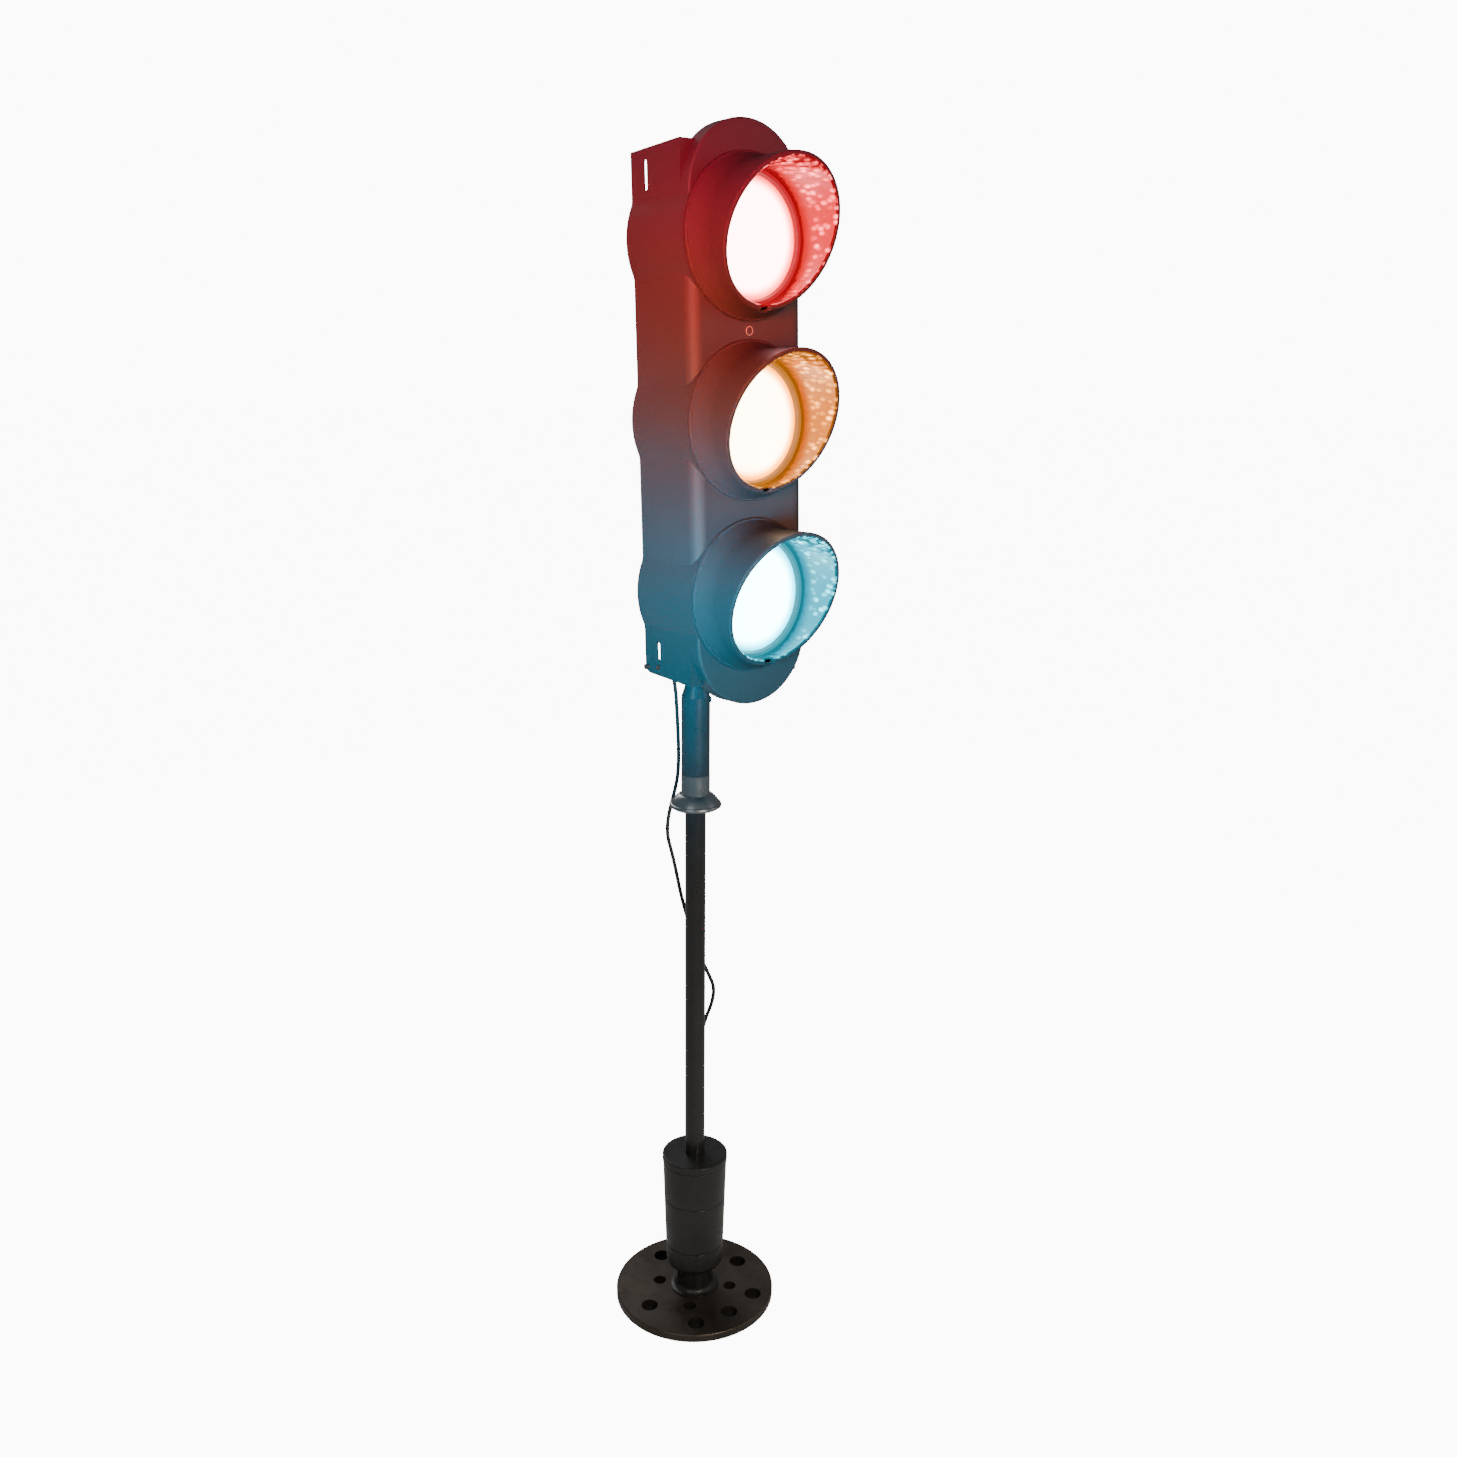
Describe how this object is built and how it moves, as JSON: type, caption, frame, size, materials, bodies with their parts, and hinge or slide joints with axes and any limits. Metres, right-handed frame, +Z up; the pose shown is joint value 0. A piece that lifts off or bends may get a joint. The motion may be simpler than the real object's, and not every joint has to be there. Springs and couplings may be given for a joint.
{
  "type": "traffic signal head on a floor stand",
  "caption": "Upright three-aspect traffic signal with hooded round lenses in a deep moulded shell, on a swivelling mast, pole and round weighted foot.",
  "frame": {"origin": "on the pole's axis at the underside of the base plate", "axes": "+Z up along the pole; the hoods and lenses face -Y; +X is the right-hand side seen from behind the lenses' back, the left-hand side seen from the front"},
  "size_m": [0.4252, 0.5786, 2.2972],
  "materials": {
    "shell_plastic": "semi-gloss moulded black plastic",
    "lens_red": "lit red moulded lens",
    "lens_amber": "lit amber moulded lens",
    "lens_green": "lit blue-green moulded lens",
    "black_rubber": "matt black rubber",
    "black_plastic": "matt black plastic",
    "cable_sheath": "black cable sheath",
    "zinc": "zinc-plated steel",
    "plate_iron": "blackened steel plate, worn",
    "hub_iron": "black painted castings",
    "pole_paint": "black paint on steel tube",
    "mast_paint": "dark grey paint on steel tube",
    "collar_grey": "smooth grey enamel",
    "tray_paint": "dark grey powder coat",
    "cast_aluminium": "as-cast aluminium",
    "reflector_silver": "polished aluminium",
    "board_white": "white circuit board",
    "driver_plastic": "light grey plastic case",
    "white_plastic": "white nylon"
  },
  "bodies": {
    "stand": {"base_plate": "plate_iron", "neck_screws": "zinc", "hub_neck": "hub_iron", "ballast_ring_lower": "hub_iron", "ballast_ring_middle": "hub_iron", "ballast_ring_upper": "hub_iron", "hub_cap": "hub_iron", "pole": "pole_paint", "collar": "collar_grey", "collar_set_screw": "zinc"},
    "head": {"head_mast": "mast_paint", "mast_screws": "zinc", "mast_cap": "black_rubber", "clamp_saddle_lower": "cast_aluminium", "clamp_cap_lower": "cast_aluminium", "clamp_saddle_upper": "cast_aluminium", "clamp_cap_upper": "cast_aluminium", "clamp_bolts": "zinc", "clamp_nuts": "zinc", "back_tray": "tray_paint", "tray_seal": "black_rubber", "reflector_top": "reflector_silver", "lamp_base_top": "cast_aluminium", "lamp_board_top": "board_white", "reflector_middle": "reflector_silver", "lamp_base_middle": "cast_aluminium", "lamp_board_middle": "board_white", "reflector_bottom": "reflector_silver", "lamp_base_bottom": "cast_aluminium", "lamp_board_bottom": "board_white", "driver_box": "driver_plastic", "terminal_block": "white_plastic", "cable_gland": "black_plastic", "strain_relief": "black_rubber", "power_cord": "cable_sheath", "cord_coil": "cable_sheath", "plug": "black_plastic"},
    "shell": {"front_shell": "shell_plastic", "visor_top": "shell_plastic", "lens_top": "lens_red", "lens_ring_top": "black_rubber", "lens_gasket_top": "black_rubber", "visor_middle": "shell_plastic", "lens_middle": "lens_amber", "lens_ring_middle": "black_rubber", "lens_gasket_middle": "black_rubber", "visor_bottom": "shell_plastic", "lens_bottom": "lens_green", "lens_ring_bottom": "black_rubber", "lens_gasket_bottom": "black_rubber", "lens_clips": "zinc", "hinge_pins": "zinc", "hinge_plates": "zinc", "hinge_screws": "zinc"},
    "closing_screw": {"closing_knob": "black_plastic"}
  },
  "joints": [
    {"name": "head_swivel", "type": "hinge", "parent": "stand", "child": "head", "pos_m": [0, 0, 1.2], "axis": [0, 0, 1], "range_deg": [-90, 90]},
    {"name": "shell_open", "type": "hinge", "parent": "head", "child": "shell", "pos_m": [0, -0.01816, 1.37916], "axis": [1, 0, 0], "range_deg": [0, 50]},
    {"name": "closing_screw_turn", "type": "hinge", "parent": "shell", "child": "closing_screw", "pos_m": [0.062, -0.00467, 2.25128], "axis": [0, 0.0384, 0.9993], "continuous": true}
  ]
}
